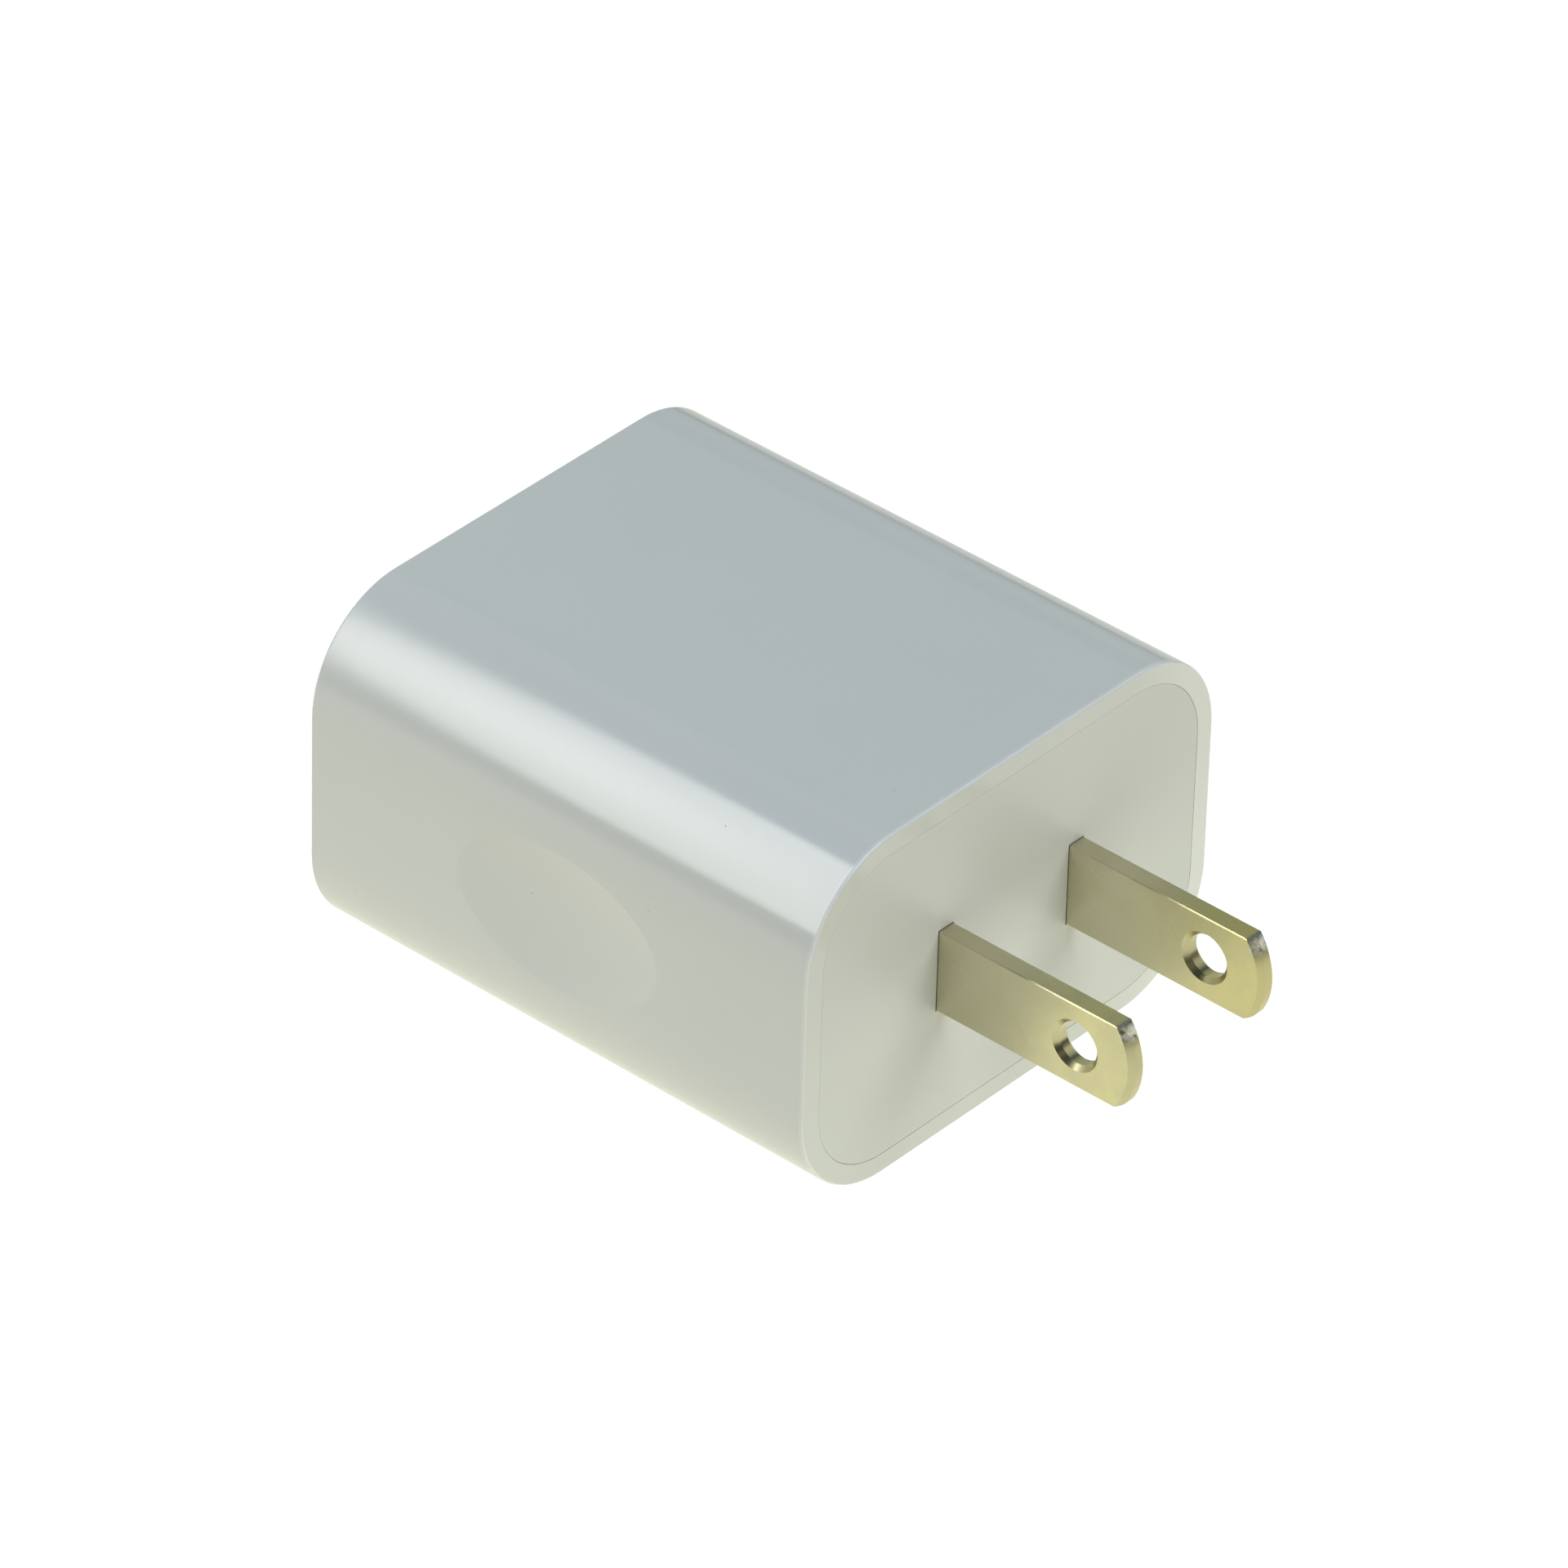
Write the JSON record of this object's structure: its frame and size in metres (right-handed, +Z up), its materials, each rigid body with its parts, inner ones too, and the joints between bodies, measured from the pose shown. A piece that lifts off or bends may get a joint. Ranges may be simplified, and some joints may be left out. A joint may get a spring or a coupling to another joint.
{
  "type": "usb wall charger",
  "caption": "Compact USB wall charger: rounded rectangular white case with flat mains blades at one end and a USB-A port at the other.",
  "frame": {"origin": "middle of the plug face, half way between the blades, where the face meets the wall socket", "axes": "+Y along the blades into the wall, -Y out of the USB port, +Z up along the blades' broad side, +X across the case"},
  "size_m": [0.0394, 0.0587, 0.0266],
  "materials": {
    "case_plastic": "smooth gloss moulding, cool white",
    "cap_plastic": "smooth semi-gloss moulding, cool white",
    "blade_plate": "nickel plate with a warm champagne tint",
    "strip_metal": "bare spring bronze",
    "board": "green solder mask on glass laminate",
    "solder": "bright tin solder",
    "port_metal": "nickel-plated sheet",
    "port_plastic": "white moulding",
    "port_contacts": "thin gold plate",
    "can_sleeve": "shrunk plastic sleeve over an aluminium can",
    "disc_ceramic": "blue dipped ceramic",
    "resistor_body": "grey-green lacquer",
    "chip_plastic": "black moulding compound",
    "chip_ceramic": "bare fired ceramic",
    "ferrite": "dark ferrite",
    "copper_wire": "enamelled copper wire",
    "coil_tape": "yellow polyester tape",
    "bobbin_plastic": "black phenolic moulding",
    "sheet": "thin insulating film"
  },
  "bodies": {
    "root": {"case_shell": "case_plastic", "plug_cap": "cap_plastic", "left_blade": "blade_plate", "right_blade": "blade_plate", "left_contact_strip": "strip_metal", "right_contact_strip": "strip_metal", "main_board": "board", "output_board": "board", "solder_joints": "solder", "insulation_sheet": "sheet", "usb_shell": "port_metal", "usb_insulator": "port_plastic", "usb_contacts": "port_contacts", "left_bulk_capacitor": "can_sleeve", "right_bulk_capacitor": "can_sleeve", "left_output_capacitor": "can_sleeve", "right_output_capacitor": "can_sleeve", "safety_capacitor": "disc_ceramic", "fuse_resistor": "resistor_body", "snubber_diode": "chip_plastic", "output_diode": "chip_plastic", "power_transistor": "chip_plastic", "controller_chip": "chip_plastic", "bridge_rectifier": "chip_plastic", "optocoupler": "chip_plastic", "voltage_reference": "chip_plastic", "chip_resistors": "chip_ceramic", "chip_capacitors": "chip_ceramic", "choke_core": "ferrite", "choke_winding": "copper_wire", "bobbin": "bobbin_plastic", "transformer_pins": "solder", "upper_core": "ferrite", "lower_core": "ferrite", "primary_winding": "copper_wire", "inner_tape": "coil_tape", "secondary_winding": "copper_wire", "outer_tape": "coil_tape"}
  },
  "joints": []
}
